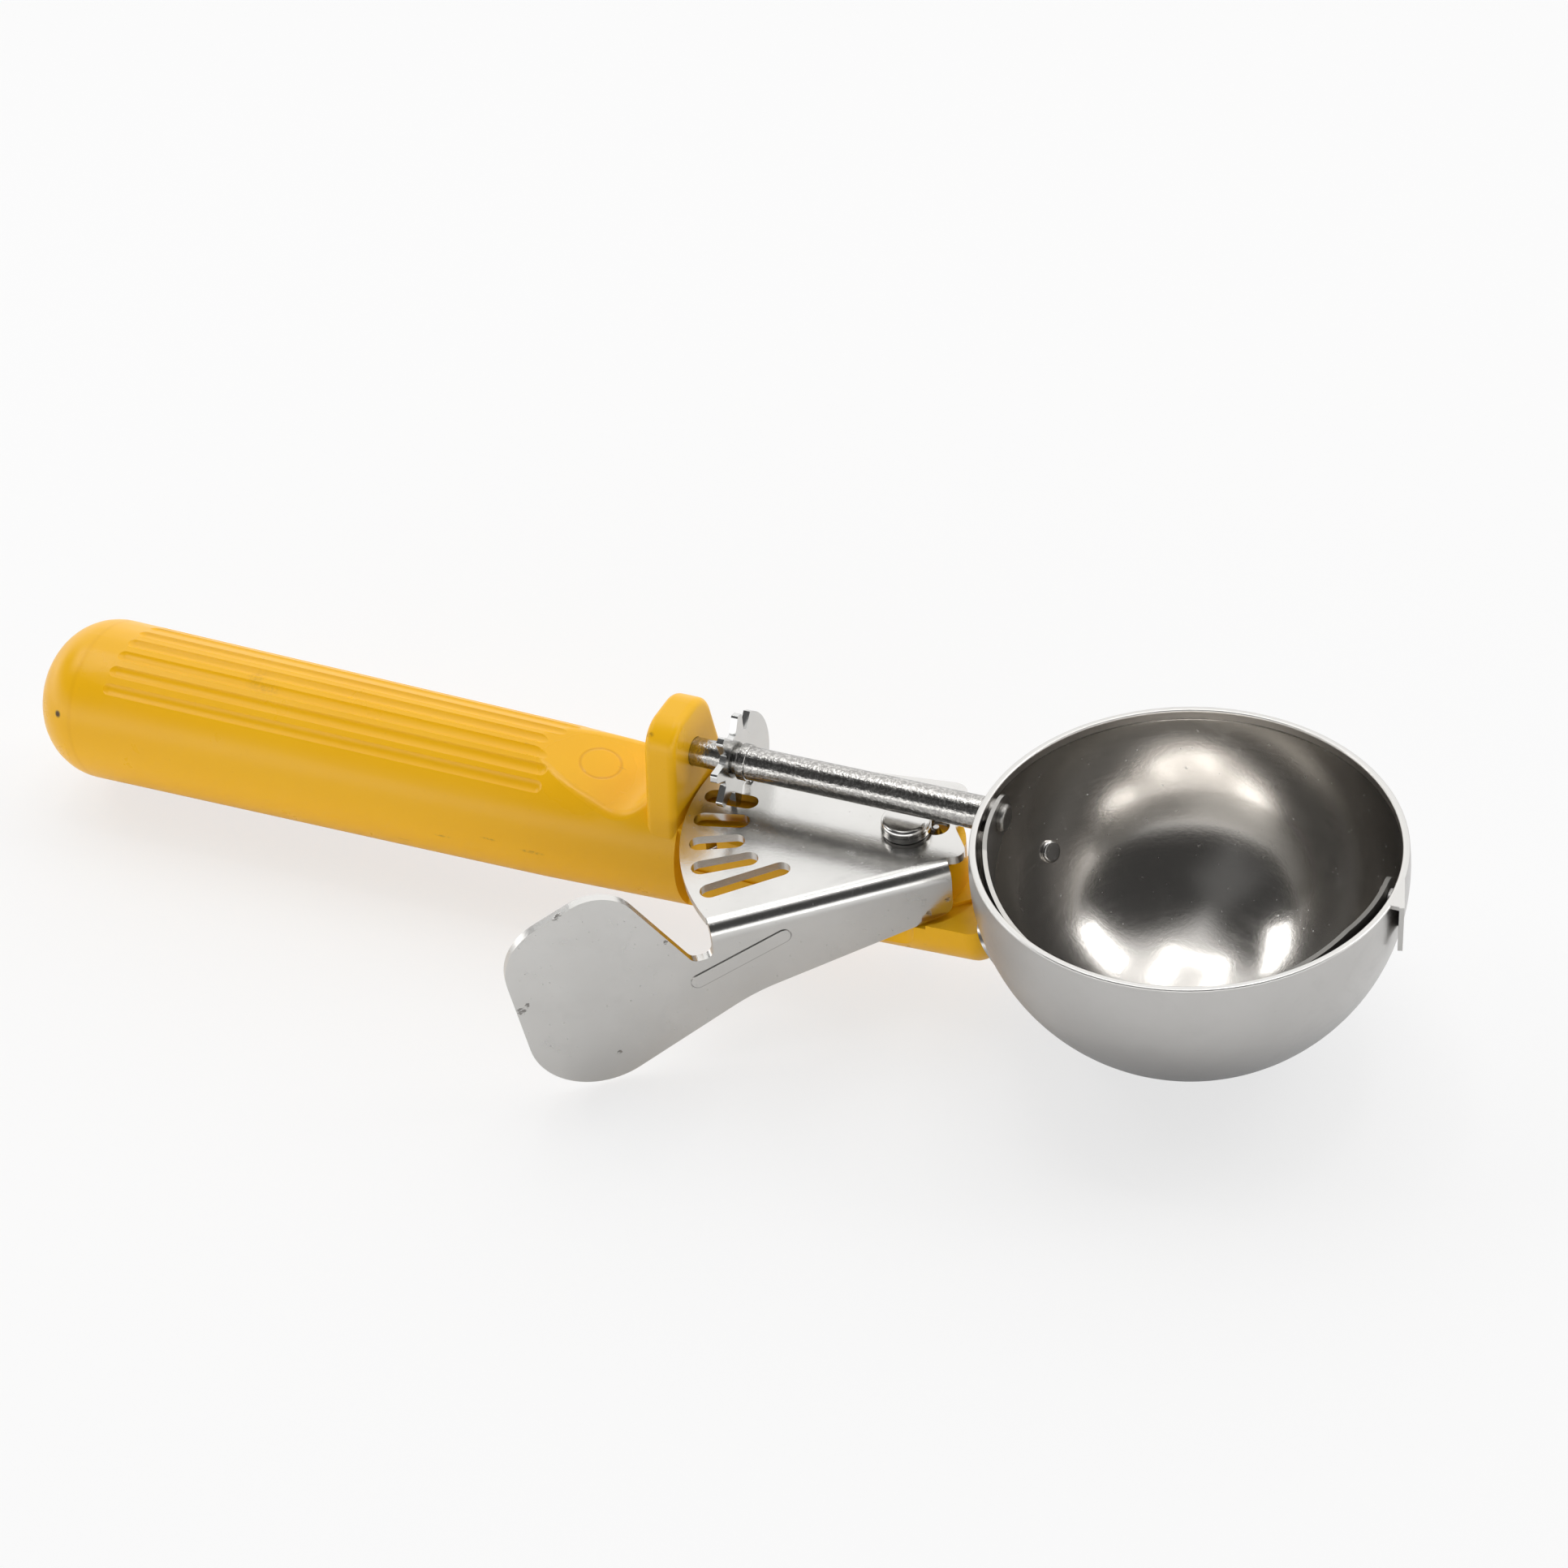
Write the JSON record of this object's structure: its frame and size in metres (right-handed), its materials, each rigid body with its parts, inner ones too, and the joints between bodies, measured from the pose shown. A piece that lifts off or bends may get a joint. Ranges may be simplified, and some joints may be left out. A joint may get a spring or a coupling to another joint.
{
  "type": "lever ice cream scoop",
  "caption": "Hand scoop with a round steel bowl, yellow grip and thumb lever that turns a star wheel to sweep a scraper blade round the bowl.",
  "frame": {"origin": "centre of the bowl's rim, in the plane of the rim", "axes": "+X along the scraper's shaft away from the handle, +Z out of the bowl's mouth, -Y towards the thumb tab"},
  "size_m": [0.2041, 0.0699, 0.0346],
  "materials": {
    "handle": "glossy injection-moulded yellow plastic",
    "tang": "plain stamped stainless steel",
    "bowl": "satin spun stainless steel with a brighter rim",
    "bowl_rivets": "stainless steel rivets",
    "scraper_blade": "thin spring-tempered stainless steel",
    "scraper_pin": "turned stainless steel",
    "scraper_shaft": "plated steel with a grainy finish",
    "star_wheel": "polished plated steel",
    "lever": "polished stamped steel",
    "pivot_rivet": "plated steel rivet",
    "pivot_washer": "plated steel washer",
    "wave_washer": "spring steel",
    "pivot_spacer": "plain steel",
    "torsion_spring": "drawn spring wire"
  },
  "bodies": {
    "frame": {"handle": "handle", "tang": "tang", "bowl": "bowl", "bowl_rivets": "bowl_rivets", "pivot_rivet": "pivot_rivet", "pivot_washer": "pivot_washer", "wave_washer": "wave_washer", "pivot_spacer": "pivot_spacer", "torsion_spring": "torsion_spring"},
    "thumb_lever": {"lever": "lever"},
    "scraper": {"scraper_shaft": "scraper_shaft", "scraper_blade": "scraper_blade", "scraper_pin": "scraper_pin", "star_wheel": "star_wheel"}
  },
  "joints": [
    {"name": "lever_pivot", "type": "hinge", "parent": "frame", "child": "thumb_lever", "pos_m": [-0.0384, 0, -0.0091], "axis": [0, 0, -1], "range_deg": [0, 36], "stiffness_Nm_per_rad": 0.25, "springref_deg": -28.65, "deforming": ["torsion_spring"]},
    {"name": "shaft_turn", "type": "hinge", "parent": "frame", "child": "scraper", "pos_m": [0, 0, -0.0028], "axis": [1, 0, 0], "range_deg": [0, 157.5]}
  ],
  "couplings": [
    {"joint": "shaft_turn", "follows": "lever_pivot", "ratio": 4.375}
  ]
}
